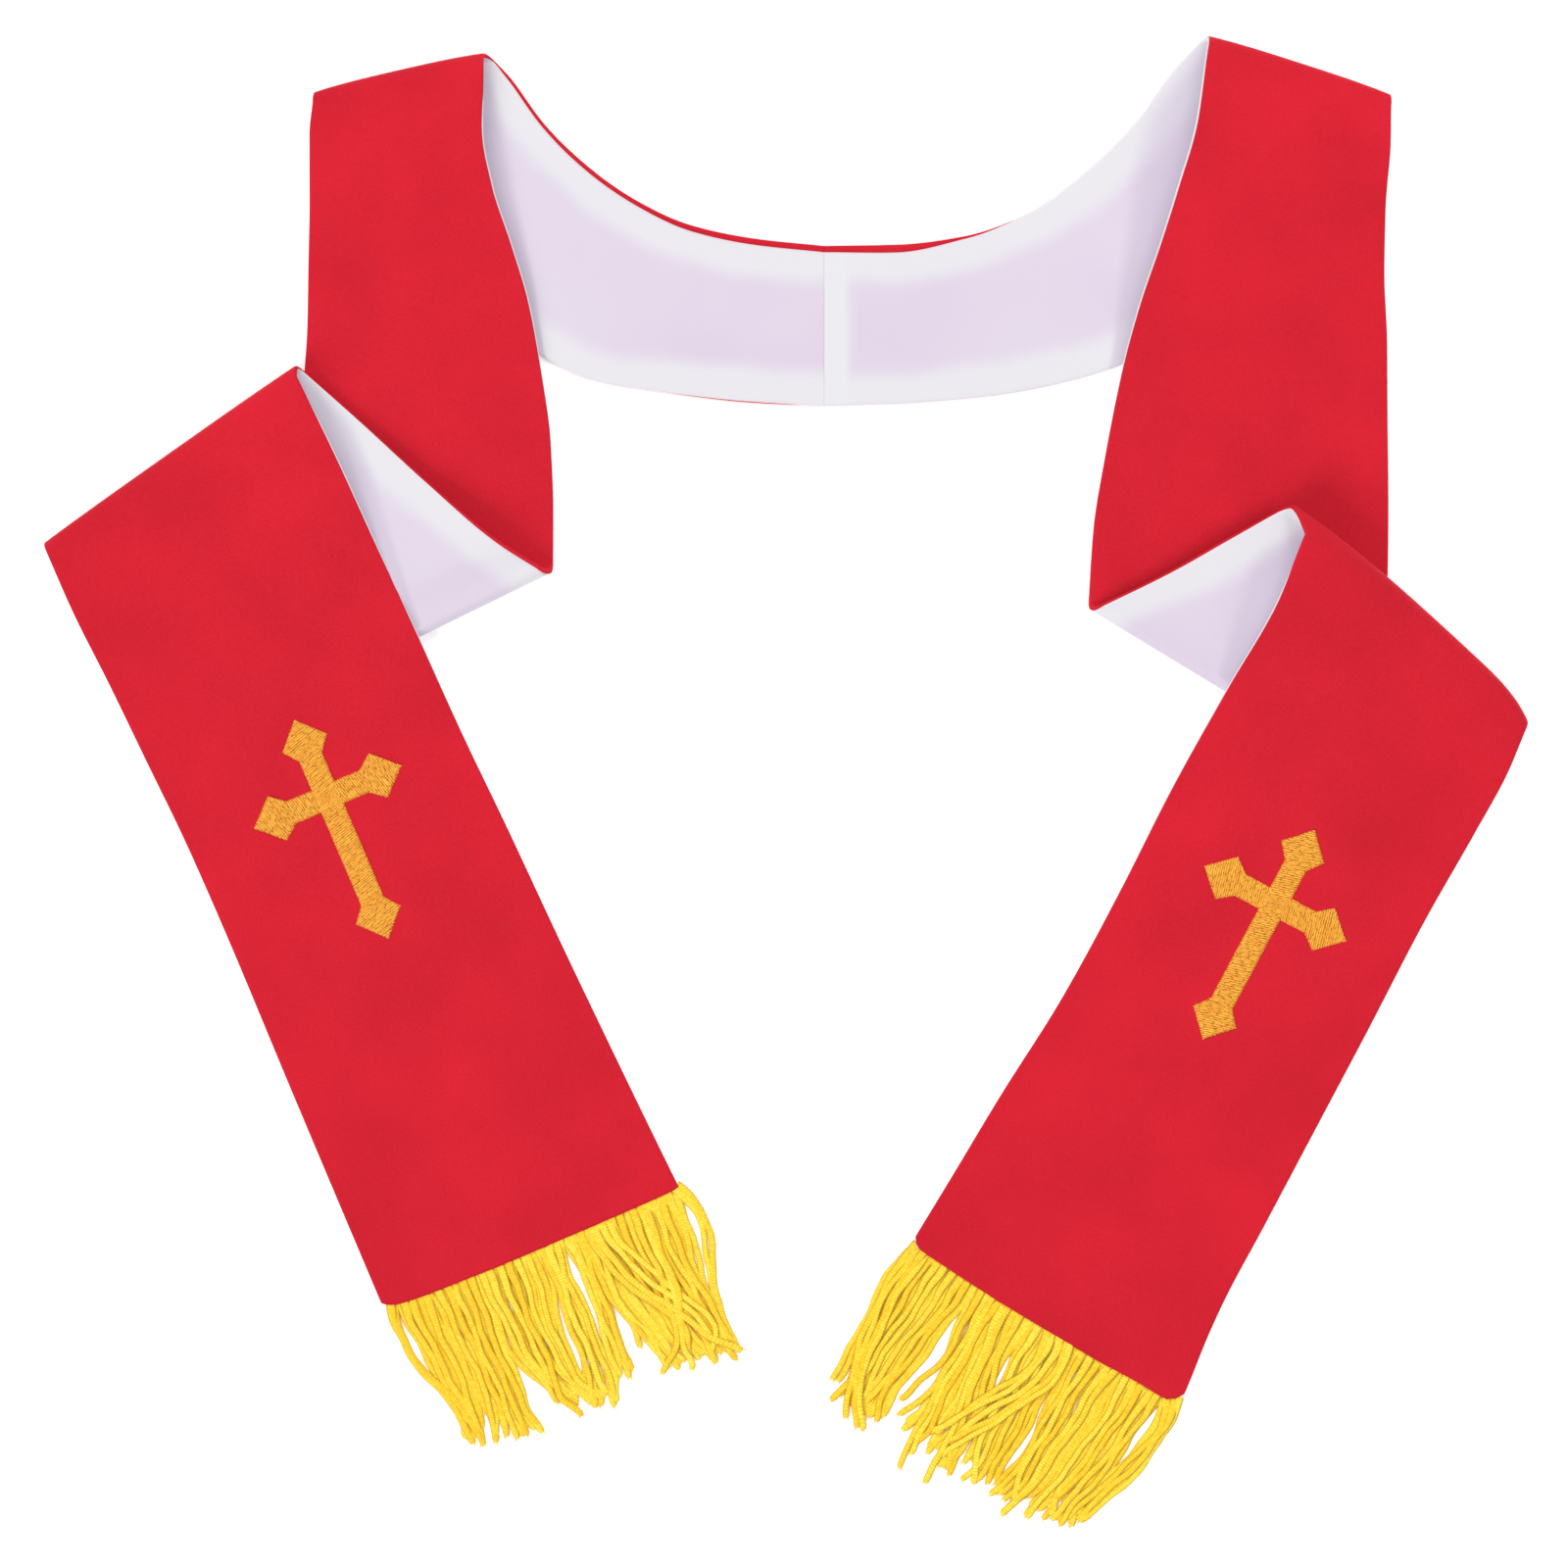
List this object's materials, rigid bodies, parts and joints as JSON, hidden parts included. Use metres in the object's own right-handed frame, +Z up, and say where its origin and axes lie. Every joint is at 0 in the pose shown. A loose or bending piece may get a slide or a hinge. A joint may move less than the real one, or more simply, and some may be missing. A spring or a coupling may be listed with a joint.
{
  "type": "clerical stole",
  "caption": "Lined clerical stole laid open, each side turned over at the shoulder and twice below it, with an embroidered cross and a fringed end.",
  "frame": {"origin": "middle of the bounding box, on the surface that the stole lies on", "axes": "+Z up from the surface, +Y towards the neck band, +X to the right as seen from above"},
  "size_m": [0.6052, 0.6064, 0.0219],
  "materials": {
    "red_cloth": "matt red twill with a faint sheen",
    "white_lining": "matt white lining, faintly lilac where the red cloth shows through",
    "gold_embroidery": "satin stitch in orange-gold thread",
    "yellow_fringe": "shiny yellow chainette strands"
  },
  "bodies": {
    "root": {"face_left": "red_cloth", "face_right": "red_cloth", "lining_left": "white_lining", "lining_right": "white_lining", "cross_left": "gold_embroidery", "cross_right": "gold_embroidery", "fringe_left": "yellow_fringe", "fringe_right": "yellow_fringe"}
  },
  "joints": []
}
